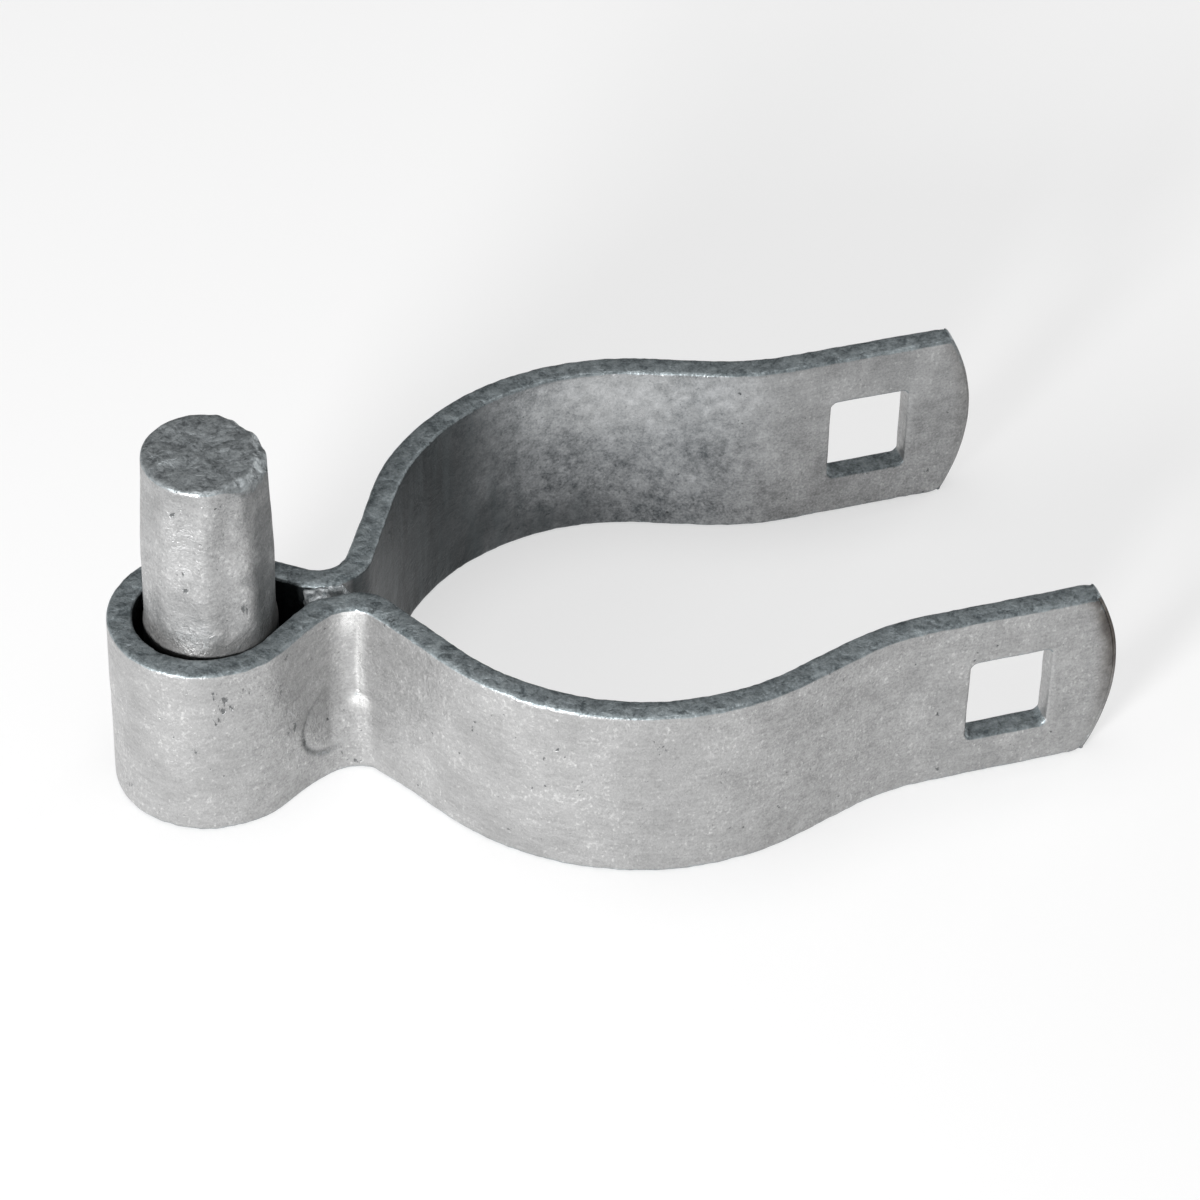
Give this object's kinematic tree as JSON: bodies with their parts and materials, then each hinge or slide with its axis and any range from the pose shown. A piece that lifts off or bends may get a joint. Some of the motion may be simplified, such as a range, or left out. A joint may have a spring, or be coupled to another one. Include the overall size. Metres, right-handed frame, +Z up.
{
  "type": "chain link gate post hinge",
  "caption": "Galvanised steel strap folded round an upright hinge pin, pinched into a neck, then opened into a clamp for a round post with two bolted ears.",
  "frame": {"origin": "on the axis of the clamped post, at the middle of the strap's height", "axes": "+Z up along the pin and the post, +X from the pin towards the ears, -Y the half of the strap nearer the camera in the picture"},
  "size_m": [0.1186, 0.0668, 0.0498],
  "materials": {
    "galvanised_strap": "hot-dip galvanised, mottled satin silver-grey with darker sheared edges",
    "galvanised_pin": "hot-dip galvanised, mottled satin silver-grey with a rough dark sheared top"
  },
  "bodies": {
    "root": {"hinge_band": "galvanised_strap", "pintle_pin": "galvanised_pin"}
  },
  "joints": []
}
